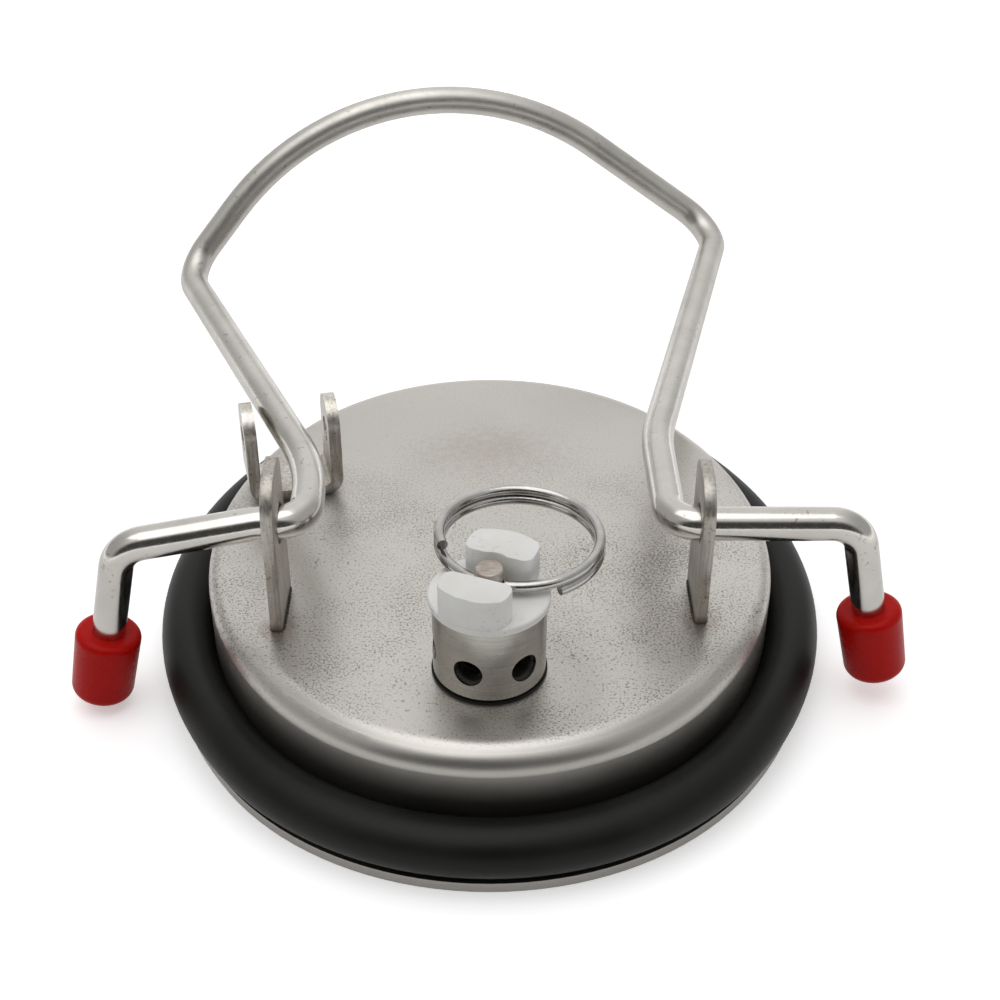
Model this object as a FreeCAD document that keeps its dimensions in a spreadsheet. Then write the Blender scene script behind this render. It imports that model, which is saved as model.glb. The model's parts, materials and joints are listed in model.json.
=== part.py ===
import FreeCAD, Part
import math
import os
import Sketcher

# Keg lid: oval steel pan with a rubber rim seal, a swinging wire bail, a lock bracket and a relief valve.
# Millimetres. The origin is the middle of the deck's top face, +Z is up and the bail's grip is at +Y.

Vector = FreeCAD.Vector
doc = FreeCAD.newDocument("keg_lid")
sheet = doc.addObject("Spreadsheet::Sheet", "sizes")

SIZES = [
    # Drawn pan
    ("sheet_thickness", 1.5),
    ("wall_half_x", 41.5),
    ("wall_half_y", 48.3),
    ("side_arc_radius", 54.9),
    ("flange_width", 6.3),
    ("deck_height", 15.7),
    ("shoulder_radius", 2.0),
    ("crease_radius", 0.8),
    # Rubber ring round the wall
    ("seal_radius", 3.8),
    ("seal_gap", 0.03),
    # Bail wire and the plates it turns in
    ("wire_radius", 2.35),
    ("pivot_y", -16.0),
    ("pivot_above_deck", 14.0),
    ("pivot_clearance", 0.5),
    ("tab_inset", 12.25),
    ("tab_y", -16.0),
    ("tab_stagger", 0.9),
    ("tab_thickness", 1.7),
    ("tab_width", 10.6),
    ("left_tab_height", 23.2),
    ("right_tab_height", 21.7),
    ("tab_corner_radius", 2.0),
    ("foot_outset", 8.7),
    ("left_foot_drop", 2.2),
    ("left_foot_forward", 2.5),
    ("left_arm_outset", 2.2),
    ("arm_bend_radius", 8.0),
    ("foot_splay", 12.5),
    ("foot_length", 26.1),
    ("foot_bend_radius", 4.5),
    ("left_leg_inset", 16.2),
    ("right_leg_inset", 16.9),
    ("leg_bend_radius", 4.2),
    ("leg_slope", 2.4),
    ("left_flare_y", -2.2),
    ("right_flare_y", 7.5),
    ("flare_bend_radius", 40.0),
    ("left_corner_outset", 13.1),
    ("left_corner_y", 66.3),
    ("right_corner_outset", 1.4),
    ("right_corner_y", 86.4),
    ("corner_bend_radius", 6.6),
    ("grip_peak_share", 0.40),
    ("grip_peak_height", 45.1),
    ("grip_lean_back", 15.0),
    ("grip_bend_radius", 49.0),
    # Plastic foot caps
    ("cap_radius", 4.6),
    ("cap_length", 11.3),
    ("cap_floor", 1.2),
    ("cap_draft", 0.25),
    ("cap_top_round", 1.1),
    ("cap_bottom_round", 1.6),
    # Lock bracket
    ("bracket_inset", 10.85),
    ("bracket_y", 14.3),
    ("bracket_turn", 14.0),
    ("bracket_thickness", 1.8),
    ("bracket_gap", 10.8),
    ("bracket_width", 8.4),
    ("bracket_height", 15.1),
    ("bracket_bend_radius", 1.2),
    ("bracket_hole_radius", 2.0),
    ("bracket_hole_height", 9.5),
    # Relief valve, heights above the deck
    ("valve_y", -29.4),
    ("valve_turn", -22.0),
    ("valve_radius", 7.55),
    ("valve_height", 11.5),
    ("valve_bore_radius", 4.9),
    ("valve_shank_radius", 6.5),
    ("valve_hole_clearance", 0.1),
    ("valve_edge_round", 0.4),
    ("vent_radius", 2.0),
    ("vent_height", 4.8),
    ("vent_count", 6.0),
    ("gasket_radius", 7.75),
    ("gasket_thickness", 0.4),
    ("collar_radius", 9.5),
    ("collar_height", 5.0),
    ("seat_floor", 1.5),
    ("seat_hole_radius", 2.2),
    ("seat_lip_radius", 3.0),
    ("seat_lip_height", 0.5),
    # Guide cap
    ("guide_plug_depth", 2.5),
    ("guide_disc_radius", 8.0),
    ("guide_disc_thickness", 1.2),
    ("lobe_length", 9.3),
    ("lobe_height", 4.5),
    ("lobe_reach", 8.1),
    ("lobe_top_round", 0.35),
    ("guide_slot_width", 4.5),
    # Stem, poppet and spring
    ("stem_radius", 1.9),
    ("stem_clearance", 0.3),
    ("stem_top", 16.6),
    ("stem_edge_round", 0.35),
    ("stem_hole_height", 14.0),
    ("stem_hole_radius", 1.15),
    ("poppet_radius", 4.3),
    ("poppet_thickness", 1.6),
    ("poppet_hub_radius", 2.9),
    ("poppet_hub_height", 1.2),
    ("poppet_seal_radius", 4.0),
    ("poppet_seal_thickness", 1.4),
    ("washer_radius", 4.6),
    ("washer_thickness", 0.5),
    ("spring_radius", 3.5),
    ("spring_wire_radius", 0.4),
    ("spring_coils", 6.0),
    # Split ring
    ("ring_radius", 10.8),
    ("ring_wire_radius", 0.75),
    ("ring_turn_gap", 0.03),
    ("ring_open_angle", 50.0),
    ("ring_droop", 1.0),
]

for row, (alias, value) in enumerate(SIZES, start=1):
    sheet.set("A%d" % row, alias)
    sheet.set("B%d" % row, str(value))
    sheet.setAlias("B%d" % row, alias)
doc.recompute()


def value_of(formula):
    """Number of a formula that names cells of the sheet."""
    return float(sheet.evalExpression(formula))


def cells(formula):
    """The same formula as another object has to write it: each cell name led by the sheet's name."""
    words = formula.replace("(", " ( ").replace(")", " ) ").split()
    names = {alias for alias, _ in SIZES}
    return " ".join("sizes." + word if word in names else word for word in words)


# Helpers for sketches and features

def origin_part(body, role):
    return next(item for item in body.Origin.OriginFeatures if item.Role == role)


def sketch_on(body, name, role, lift=None):
    """New sketch on one of the body's own origin planes, lifted along its normal by a formula."""
    sketch = body.newObject("Sketcher::SketchObject", name)
    sketch.AttachmentSupport = [(origin_part(body, role), "")]
    sketch.MapMode = "FlatFace"
    if lift:
        sketch.setExpression("AttachmentOffset.Base.z", cells(lift))
    return sketch


def bind(sketch, constraint, formula):
    number = sketch.addConstraint(constraint)
    sketch.setExpression("Constraints[%d]" % number, cells(formula))


def polygon(sketch, corners):
    """Closed outline of straight lines; every corner is a pair of formulas."""
    points = [Vector(value_of(across), value_of(up), 0) for across, up in corners]
    count = len(points)
    for index in range(count):
        sketch.addGeometry(Part.LineSegment(points[index], points[(index + 1) % count]))
    for index in range(count):
        sketch.addConstraint(Sketcher.Constraint("Coincident", index, 2, (index + 1) % count, 1))
    for index, (across, up) in enumerate(corners):
        bind(sketch, Sketcher.Constraint("DistanceX", -1, 1, index, 1, points[index].x), across)
        bind(sketch, Sketcher.Constraint("DistanceY", -1, 1, index, 1, points[index].y), up)


def circle(sketch, across, up, radius):
    centre = Vector(value_of(across), value_of(up), 0)
    number = sketch.addGeometry(Part.Circle(centre, Vector(0, 0, 1), value_of(radius)))
    bind(sketch, Sketcher.Constraint("DistanceX", -1, 1, number, 3, centre.x), across)
    bind(sketch, Sketcher.Constraint("DistanceY", -1, 1, number, 3, centre.y), up)
    bind(sketch, Sketcher.Constraint("Radius", number, value_of(radius)), radius)


def stadium(sketch, length, near, far):
    """Outline with two half-round ends, from near to far along Y and as long as given along X."""
    radius = "( ( %s ) - ( %s ) ) / 2" % (far, near)
    middle = "( ( %s ) + ( %s ) ) / 2" % (far, near)
    reach = "( %s ) / 2 - ( %s )" % (length, radius)
    size = value_of(radius)
    for side, formula in ((1, reach), (-1, "0 - ( %s )" % reach)):
        centre = Vector(value_of(formula), value_of(middle), 0)
        start = -math.pi / 2 * side
        ring = Part.Circle(centre, Vector(0, 0, 1), size)
        arc = sketch.addGeometry(Part.ArcOfCircle(ring, start, start + math.pi))
        bind(sketch, Sketcher.Constraint("DistanceX", -1, 1, arc, 3, centre.x), formula)
        bind(sketch, Sketcher.Constraint("DistanceY", -1, 1, arc, 3, centre.y), middle)
        bind(sketch, Sketcher.Constraint("Radius", arc, size), radius)
    right, left = 0, 1
    for first, second, height in ((right, left, size), (left, right, -size)):
        level = value_of(middle) + height
        across = value_of(reach) * (1 if height > 0 else -1)
        line = sketch.addGeometry(Part.LineSegment(Vector(across, level, 0), Vector(-across, level, 0)))
        sketch.addConstraint(Sketcher.Constraint("Tangent", first, 2, line, 1))
        sketch.addConstraint(Sketcher.Constraint("Tangent", line, 2, second, 1))


# The pan's outline is an oval of four tangent arcs. Every other oval is a parallel of the wall's.
END_ARC_RADIUS = ("( wall_half_x ^ 2 + wall_half_y ^ 2 - 2 * wall_half_x * side_arc_radius )"
                  " / ( 2 * ( wall_half_y - side_arc_radius ) )")
SIDE_CENTRE = "( side_arc_radius - wall_half_x )"
END_CENTRE = "( wall_half_y - %s )" % END_ARC_RADIUS
CENTRE_DISTANCE = "( side_arc_radius - %s )" % END_ARC_RADIUS


def oval_radii(outward):
    return [value_of("side_arc_radius + " + outward), value_of(END_ARC_RADIUS + " + " + outward)]


def oval(sketch, outward):
    """Four-arc oval round the origin, a parallel of the wall's outline pushed outward by a formula."""
    side_radius = "( side_arc_radius + %s )" % outward
    end_radius = "( %s + %s )" % (END_ARC_RADIUS, outward)
    join_x = "%s * %s / %s - %s" % (side_radius, SIDE_CENTRE, CENTRE_DISTANCE, SIDE_CENTRE)
    join_y = "%s * %s / %s" % (side_radius, END_CENTRE, CENTRE_DISTANCE)
    minus_x = "0 - ( %s )" % join_x
    minus_y = "0 - ( %s )" % join_y
    arcs = [
        (Vector(-value_of(SIDE_CENTRE), 0, 0), side_radius, join_x, minus_y),
        (Vector(0, value_of(END_CENTRE), 0), end_radius, join_x, join_y),
        (Vector(value_of(SIDE_CENTRE), 0, 0), side_radius, minus_x, join_y),
        (Vector(0, -value_of(END_CENTRE), 0), end_radius, minus_x, minus_y),
    ]
    starts = [Vector(value_of(across), value_of(up), 0) for _, _, across, up in arcs]
    count = len(arcs)
    for index, (centre, radius, _, _) in enumerate(arcs):
        first = starts[index] - centre
        last = starts[(index + 1) % count] - centre
        ring = Part.Circle(centre, Vector(0, 0, 1), value_of(radius))
        sketch.addGeometry(Part.ArcOfCircle(ring, math.atan2(first.y, first.x), math.atan2(last.y, last.x)))
    for index, (_, radius, across, up) in enumerate(arcs):
        sketch.addConstraint(Sketcher.Constraint("Coincident", index, 2, (index + 1) % count, 1))
        bind(sketch, Sketcher.Constraint("DistanceX", -1, 1, index, 1, starts[index].x), across)
        bind(sketch, Sketcher.Constraint("DistanceY", -1, 1, index, 1, starts[index].y), up)
        bind(sketch, Sketcher.Constraint("Radius", index, value_of(radius)), radius)


def pad(body, name, sketch, length, both_ways=False):
    feature = body.newObject("PartDesign::Pad", name)
    feature.Profile = sketch
    feature.setExpression("Length", cells(length))
    if both_ways:
        feature.SideType = "Symmetric"
    doc.recompute()
    return feature


def pocket(body, name, sketch, length, reverse=False, both_ways=False):
    feature = body.newObject("PartDesign::Pocket", name)
    feature.Profile = sketch
    feature.setExpression("Length", cells(length))
    feature.Reversed = reverse
    if both_ways:
        feature.SideType = "Symmetric"
    doc.recompute()
    return feature


def revolve(body, name, sketch):
    feature = body.newObject("PartDesign::Revolution", name)
    feature.Profile = sketch
    feature.ReferenceAxis = (sketch, ["V_Axis"])
    feature.Angle = 360
    doc.recompute()
    return feature


def round_edges(body, name, base, radius, wanted):
    """Fillet on the edges of the base that the test picks."""
    names = ["Edge%d" % number for number, edge in enumerate(base.Shape.Edges, start=1) if wanted(edge)]
    feature = body.newObject("PartDesign::Fillet", name)
    feature.Base = (base, names)
    feature.setExpression("Radius", cells(radius))
    doc.recompute()
    return feature


def flat_arc(edge, height, radii):
    """True for a round edge that lies flat at a height and has one of the radii."""
    box = edge.BoundBox
    flat = abs(box.ZMin - height) < 0.001 and abs(box.ZMax - height) < 0.001
    is_round = isinstance(edge.Curve, Part.Circle)
    return flat and is_round and any(abs(edge.Curve.Radius - radius) < 0.001 for radius in radii)


def place(item, across="0", along="0", up="0", turn="0"):
    """Bind an object's place, and its turn about Z in degrees, to the sheet."""
    item.setExpression("Placement.Base.x", cells(across))
    item.setExpression("Placement.Base.y", cells(along))
    item.setExpression("Placement.Base.z", cells(up))
    item.Placement.Rotation = FreeCAD.Rotation(Vector(0, 0, 1), value_of(turn))
    item.setExpression("Placement.Rotation.Angle", cells(turn))
    doc.recompute()


def new_body(label):
    body = doc.addObject("PartDesign::Body", label)
    body.Label = label
    return body


def turned_piece(label, corners):
    """Body turned round its own Z from an outline of radius and height formulas."""
    body = new_body(label)
    sketch = sketch_on(body, label + "_profile", "XZ_Plane")
    polygon(sketch, corners)
    return body, revolve(body, label + "_turned", sketch)


# Drawn pan and rim seal

def make_lid_shell():
    body = new_body("lid_shell")
    flange = sketch_on(body, "flange_outline", "XY_Plane")
    oval(flange, "flange_width")
    pad(body, "flange", flange, "sheet_thickness")
    wall = sketch_on(body, "wall_outline", "XY_Plane")
    oval(wall, "0")
    raised = pad(body, "raised_deck", wall, "deck_height")
    deck = value_of("deck_height")
    sheet_top = value_of("sheet_thickness")
    outer = oval_radii("0")
    raised = round_edges(body, "shoulder", raised, "shoulder_radius", lambda e: flat_arc(e, deck, outer))
    round_edges(body, "crease", raised, "crease_radius", lambda e: flat_arc(e, sheet_top, outer))
    inside = sketch_on(body, "inside_outline", "XY_Plane")
    oval(inside, "( 0 - sheet_thickness )")
    hollow = pocket(body, "hollow", inside, "deck_height - sheet_thickness", reverse=True)
    inner = oval_radii("( 0 - sheet_thickness )")
    ceiling = deck - sheet_top
    hollow = round_edges(body, "inner_shoulder", hollow, "shoulder_radius / 2",
                         lambda e: flat_arc(e, ceiling, inner))
    round_edges(body, "mouth_round", hollow, "crease_radius + sheet_thickness",
                lambda e: flat_arc(e, 0, inner))
    hole = sketch_on(body, "valve_hole_outline", "XY_Plane", "deck_height")
    circle(hole, "0", "valve_y", "valve_shank_radius + valve_hole_clearance")
    pocket(body, "valve_hole", hole, "sheet_thickness * 2")
    place(body, "0", "0", "0 - deck_height")
    return body


def make_rim_seal():
    """Round rubber section swept along an oval that keeps it against the wall and on the flange."""
    path = doc.addObject("Sketcher::SketchObject", "seal_path")
    path.setExpression("Placement.Base.z", cells("sheet_thickness + seal_radius - deck_height"))
    oval(path, "( seal_radius + seal_gap )")
    section = doc.addObject("Part::Circle", "seal_section")
    section.setExpression("Radius", cells("seal_radius"))
    doc.recompute()
    first = path.Shape.Edges[0]
    section.Placement = FreeCAD.Placement(
        first.valueAt(first.FirstParameter),
        FreeCAD.Rotation(Vector(0, 0, 1), first.tangentAt(first.FirstParameter)))
    seal = doc.addObject("Part::Sweep", "rim_seal")
    seal.Label = "rim_seal"
    seal.Sections = [section]
    seal.Spine = (path, ["Edge%d" % number for number in range(1, len(path.Shape.Edges) + 1)])
    seal.Solid = True
    doc.recompute()
    return seal


# Bail and the plates that carry it

def make_pivot_tab(label, side, height):
    body = new_body(label)
    outline = sketch_on(body, label + "_outline", "YZ_Plane")
    polygon(outline, [
        ("0 - tab_width / 2", "0"),
        ("tab_width / 2", "0"),
        ("tab_width / 2", height),
        ("0 - tab_width / 2", height),
    ])
    plate = pad(body, label + "_plate", outline, "tab_thickness", both_ways=True)
    top = value_of(height)
    thickness = value_of("tab_thickness")

    def top_corner(edge):
        box = edge.BoundBox
        return abs(box.ZMin - top) < 0.001 and abs(box.XLength - thickness) < 0.001 and box.YLength < 0.001

    round_edges(body, label + "_corners", plate, "tab_corner_radius", top_corner)
    middle = "tab_y + %d * tab_stagger" % side
    hole = sketch_on(body, label + "_hole_outline", "YZ_Plane")
    circle(hole, "pivot_y - ( %s )" % middle, "pivot_above_deck", "wire_radius + pivot_clearance")
    pocket(body, label + "_hole", hole, "tab_thickness * 2", both_ways=True)
    place(body, "%d * ( wall_half_x - tab_inset )" % side, middle)
    return body


def rounded_run(points, radii):
    """Edges of straight runs through the points, with a tangent arc of the given radius at each bend."""
    edges = []
    start = points[0]
    for before, bend, after, radius in zip(points, points[1:], points[2:], radii):
        back = (before - bend).normalize()
        ahead = (after - bend).normalize()
        half_angle = back.getAngle(ahead) / 2
        reach = radius / math.tan(half_angle)
        arc_start = bend + back * reach
        arc_end = bend + ahead * reach
        inward = (back + ahead).normalize()
        middle = bend + inward * (radius / math.sin(half_angle) - radius)
        edges.append(Part.LineSegment(start, arc_start).toShape())
        edges.append(Part.Arc(arc_start, middle, arc_end).toShape())
        start = arc_end
    edges.append(Part.LineSegment(start, points[-1]).toShape())
    return edges


def foot_direction(side):
    splay = math.radians(value_of("foot_splay"))
    return Vector(side * math.sin(splay), 0, -math.cos(splay))


def foot_top(side):
    """Where an arm turns down into its foot. The left arm is bent a little forward and down."""
    across = side * value_of("wall_half_x + foot_outset")
    if side < 0:
        return Vector(across, value_of("pivot_y - left_foot_forward"),
                      value_of("pivot_above_deck - left_foot_drop"))
    return Vector(across, value_of("pivot_y"), value_of("pivot_above_deck"))


def leg_point(across, along):
    """Point of the legs' plane, which slopes down from the pivots to the grip."""
    drop = (value_of(along) - value_of("pivot_y")) * math.tan(math.radians(value_of("leg_slope")))
    return Vector(value_of(across), value_of(along), value_of("pivot_above_deck") - drop)


def bail_path():
    """Centre line of the whole wire, from the left foot's end over the grip to the right foot's end."""
    left_leg = "left_leg_inset - wall_half_x"
    right_leg = "wall_half_x - right_leg_inset"
    left_corner = leg_point("0 - wall_half_x - left_corner_outset", "left_corner_y")
    right_corner = leg_point("wall_half_x + right_corner_outset", "right_corner_y")
    chord = right_corner - left_corner
    backward = Vector(-chord.y, chord.x, 0).normalize()
    lean = math.radians(value_of("grip_lean_back"))
    upward = Vector(0, 0, 1) * math.cos(lean) + backward * math.sin(lean)
    peak = left_corner + chord * value_of("grip_peak_share") + upward * value_of("grip_peak_height")
    wire_stop = value_of("foot_length - cap_floor")
    points = [
        foot_top(-1) + foot_direction(-1) * wire_stop,
        foot_top(-1),
        leg_point("tab_inset - wall_half_x - left_arm_outset", "pivot_y"),
        leg_point(left_leg, "pivot_y"),
        leg_point(left_leg, "left_flare_y"),
        left_corner,
        peak,
        right_corner,
        leg_point(right_leg, "right_flare_y"),
        leg_point(right_leg, "pivot_y"),
        foot_top(1),
        foot_top(1) + foot_direction(1) * wire_stop,
    ]
    bends = ["foot", "arm", "leg", "flare", "corner", "grip", "corner", "flare", "leg", "foot"]
    radii = [value_of(bend + "_bend_radius") for bend in bends]
    return Part.Wire(rounded_run(points, radii))


def make_bail_wire():
    path = doc.addObject("Part::Feature", "bail_path")
    path.Shape = bail_path()
    section = doc.addObject("Part::Circle", "bail_section")
    section.setExpression("Radius", cells("wire_radius"))
    wire_stop = value_of("foot_length - cap_floor")
    section.Placement = FreeCAD.Placement(
        foot_top(-1) + foot_direction(-1) * wire_stop,
        FreeCAD.Rotation(Vector(0, 0, 1), foot_direction(-1) * -1))
    doc.recompute()
    wire = doc.addObject("Part::Sweep", "bail_wire")
    wire.Label = "bail_wire"
    wire.Sections = [section]
    wire.Spine = (path, ["Edge%d" % (number + 1) for number in range(len(path.Shape.Edges))])
    wire.Solid = True
    wire.Frenet = False
    doc.recompute()
    return wire


def make_foot_cap(label, side):
    body, turned = turned_piece(label, [
        ("0", "0"),
        ("cap_radius - cap_draft", "0"),
        ("cap_radius", "cap_length"),
        ("wire_radius", "cap_length"),
        ("wire_radius", "cap_floor"),
        ("0", "cap_floor"),
    ])
    length = value_of("cap_length")
    cap_radius = value_of("cap_radius")
    floor_radius = value_of("cap_radius - cap_draft")
    turned = round_edges(body, label + "_top_round", turned, "cap_top_round",
                         lambda e: flat_arc(e, length, [cap_radius]))
    round_edges(body, label + "_bottom_round", turned, "cap_bottom_round",
                lambda e: flat_arc(e, 0, [floor_radius]))
    body.Placement = FreeCAD.Placement(
        foot_top(side) + foot_direction(side) * value_of("foot_length"),
        FreeCAD.Rotation(Vector(0, 0, 1), foot_direction(side) * -1))
    doc.recompute()
    return body


# Lock bracket

def make_lock_bracket():
    body = new_body("lock_bracket")
    section = sketch_on(body, "bracket_section", "XZ_Plane")
    outer = "bracket_gap / 2 + bracket_thickness"
    inner = "bracket_gap / 2"
    polygon(section, [
        ("0 - ( %s )" % outer, "0"),
        (outer, "0"),
        (outer, "bracket_height"),
        (inner, "bracket_height"),
        (inner, "bracket_thickness"),
        ("0 - " + inner, "bracket_thickness"),
        ("0 - " + inner, "bracket_height"),
        ("0 - ( %s )" % outer, "bracket_height"),
    ])
    blank = pad(body, "bracket_blank", section, "bracket_width", both_ways=True)
    reach_out = value_of(outer)
    reach_in = value_of(inner)
    thickness = value_of("bracket_thickness")
    width = value_of("bracket_width")
    height = value_of("bracket_height")

    def fold(edge, reach, level):
        box = edge.BoundBox
        long_way = abs(box.YLength - width) < 0.001
        return long_way and abs(abs(box.XMax) - reach) < 0.001 and abs(box.ZMax - level) < 0.001

    def ear_corner(edge):
        box = edge.BoundBox
        across = abs(box.XLength - thickness) < 0.001 and box.YLength < 0.001
        return across and abs(box.ZMin - height) < 0.001

    bent = round_edges(body, "inner_folds", blank, "bracket_bend_radius",
                       lambda e: fold(e, reach_in, thickness))
    bent = round_edges(body, "outer_folds", bent, "bracket_bend_radius + bracket_thickness",
                       lambda e: fold(e, reach_out, 0))
    round_edges(body, "ear_tops", bent, "bracket_width / 2 - 0.05", ear_corner)
    hole = sketch_on(body, "bracket_hole_outline", "YZ_Plane")
    circle(hole, "0", "bracket_hole_height", "bracket_hole_radius")
    pocket(body, "bracket_holes", hole, "bracket_gap * 3", both_ways=True)
    place(body, "bracket_inset - wall_half_x", "bracket_y", "0", "bracket_turn")
    return body


# Relief valve

def place_on_valve(item):
    place(item, "0", "valve_y", "0", "valve_turn")


def make_threaded_collar():
    body, _ = turned_piece("threaded_collar", [
        ("valve_shank_radius", "0 - sheet_thickness - collar_height"),
        ("collar_radius", "0 - sheet_thickness - collar_height"),
        ("collar_radius", "0 - sheet_thickness"),
        ("valve_shank_radius", "0 - sheet_thickness"),
    ])
    place_on_valve(body)
    return body


def make_valve_body():
    """Turned cylinder with a shank, a spring bore, a raised seat round its inlet and six vents."""
    floor = "0 - sheet_thickness - collar_height + seat_floor"
    body, turned = turned_piece("valve_body", [
        ("seat_hole_radius", "0 - sheet_thickness - collar_height"),
        ("valve_shank_radius", "0 - sheet_thickness - collar_height"),
        ("valve_shank_radius", "gasket_thickness"),
        ("valve_radius", "gasket_thickness"),
        ("valve_radius", "valve_height"),
        ("valve_bore_radius", "valve_height"),
        ("valve_bore_radius", floor),
        ("seat_lip_radius", floor),
        ("seat_lip_radius", floor + " + seat_lip_height"),
        ("seat_hole_radius", floor + " + seat_lip_height"),
    ])
    radius = value_of("valve_radius")
    bottom = value_of("gasket_thickness")
    round_edges(body, "valve_edge", turned, "valve_edge_round", lambda e: flat_arc(e, bottom, [radius]))
    vent = sketch_on(body, "vent_outline", "XZ_Plane")
    circle(vent, "0", "vent_height", "vent_radius")
    first = pocket(body, "vent", vent, "valve_radius + 1", reverse=True)
    pattern = body.newObject("PartDesign::PolarPattern", "vents")
    pattern.Originals = [first]
    pattern.Axis = (origin_part(body, "Z_Axis"), [""])
    pattern.Angle = 360
    body.Tip = pattern
    pattern.setExpression("Occurrences", cells("vent_count"))
    doc.recompute()
    place_on_valve(body)
    return body


def make_valve_gasket():
    body, _ = turned_piece("valve_gasket", [
        ("valve_shank_radius + valve_hole_clearance", "0"),
        ("gasket_radius", "0"),
        ("gasket_radius", "gasket_thickness"),
        ("valve_shank_radius + valve_hole_clearance", "gasket_thickness"),
    ])
    place_on_valve(body)
    return body


def make_guide_cap():
    """Cap with a plug in the bore, a disc, and two raised lobes that leave a slot between them."""
    disc_top = "valve_height + guide_disc_thickness"
    body, _ = turned_piece("guide_cap", [
        ("stem_radius + stem_clearance", "valve_height - guide_plug_depth"),
        ("valve_bore_radius", "valve_height - guide_plug_depth"),
        ("valve_bore_radius", "valve_height"),
        ("guide_disc_radius", "valve_height"),
        ("guide_disc_radius", disc_top),
        ("stem_radius + stem_clearance", disc_top),
    ])
    lobe_top = value_of(disc_top + " + lobe_height")
    for name, side in (("front_lobe", -1), ("rear_lobe", 1)):
        inner = "%d * guide_slot_width / 2" % side
        outer = "%d * lobe_reach" % side
        outline = sketch_on(body, name + "_outline", "XY_Plane", disc_top)
        stadium(outline, "lobe_length", min(inner, outer, key=value_of), max(inner, outer, key=value_of))
        block = pad(body, name + "_block", outline, "lobe_height")
        round_edges(body, name + "_top", block, "lobe_top_round", lambda e: lobe_rim(e, side, lobe_top))
    place_on_valve(body)
    return body


def lobe_rim(edge, side, level):
    """True for an edge round the top face of the lobe on the given side of the slot."""
    box = edge.BoundBox
    return abs(box.ZMin - level) < 0.001 and abs(box.ZMax - level) < 0.001 and side * box.Center.y > 0


SEAL_BOTTOM = "0 - sheet_thickness - collar_height + seat_floor + seat_lip_height"
SEAL_TOP = SEAL_BOTTOM + " + poppet_seal_thickness"
POPPET_TOP = SEAL_TOP + " + poppet_thickness"


def make_valve_stem():
    body, turned = turned_piece("valve_stem", [
        ("0", SEAL_TOP),
        ("stem_radius", SEAL_TOP),
        ("stem_radius", "stem_top"),
        ("0", "stem_top"),
    ])
    top = value_of("stem_top")
    radius = value_of("stem_radius")
    round_edges(body, "stem_edge", turned, "stem_edge_round", lambda e: flat_arc(e, top, [radius]))
    hole = sketch_on(body, "stem_hole_outline", "YZ_Plane")
    circle(hole, "0", "stem_hole_height", "stem_hole_radius")
    pocket(body, "stem_hole", hole, "stem_radius * 4", both_ways=True)
    place_on_valve(body)
    return body


def make_poppet():
    body, _ = turned_piece("poppet", [
        ("stem_radius", SEAL_TOP),
        ("poppet_radius", SEAL_TOP),
        ("poppet_radius", POPPET_TOP),
        ("poppet_hub_radius", POPPET_TOP),
        ("poppet_hub_radius", POPPET_TOP + " + poppet_hub_height"),
        ("stem_radius", POPPET_TOP + " + poppet_hub_height"),
    ])
    place_on_valve(body)
    return body


def make_poppet_seal():
    body, _ = turned_piece("poppet_seal", [
        ("0", SEAL_BOTTOM),
        ("poppet_seal_radius", SEAL_BOTTOM),
        ("poppet_seal_radius", SEAL_TOP),
        ("0", SEAL_TOP),
    ])
    place_on_valve(body)
    return body


WASHER_BOTTOM = "valve_height - guide_plug_depth - washer_thickness"


def make_spring_washer():
    body, _ = turned_piece("spring_washer", [
        ("stem_radius + stem_clearance", WASHER_BOTTOM),
        ("washer_radius", WASHER_BOTTOM),
        ("washer_radius", WASHER_BOTTOM + " + washer_thickness"),
        ("stem_radius + stem_clearance", WASHER_BOTTOM + " + washer_thickness"),
    ])
    place_on_valve(body)
    return body


def helix_sweep(label, radius, pitch, height, wire_radius):
    """Round wire swept along a helix that starts on the local X axis."""
    helix = doc.addObject("Part::Helix", label + "_path")
    helix.setExpression("Radius", cells(radius))
    helix.setExpression("Pitch", cells(pitch))
    helix.setExpression("Height", cells(height))
    section = doc.addObject("Part::Circle", label + "_section")
    section.setExpression("Radius", cells(wire_radius))
    climb = math.atan2(value_of(pitch), 2 * math.pi * value_of(radius))
    section.Placement.Rotation = FreeCAD.Rotation(Vector(0, 0, 1), Vector(0, math.cos(climb), math.sin(climb)))
    section.setExpression("Placement.Base.x", cells(radius))
    doc.recompute()
    coil = doc.addObject("Part::Sweep", label)
    coil.Label = label
    coil.Sections = [section]
    coil.Spine = (helix, ["Edge%d" % (number + 1) for number in range(len(helix.Shape.Edges))])
    coil.Solid = True
    coil.Frenet = True
    doc.recompute()
    return coil


def make_relief_spring():
    """Coil between the poppet and the washer; its end coils' wire just rests on both."""
    free_height = "( %s ) - ( %s ) - 2 * spring_wire_radius" % (WASHER_BOTTOM, POPPET_TOP)
    coil = helix_sweep("relief_spring", "spring_radius", "( %s ) / spring_coils" % free_height,
                       free_height, "spring_wire_radius")
    place(coil, "0", "valve_y", POPPET_TOP + " + spring_wire_radius", "valve_turn")
    return coil


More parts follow.
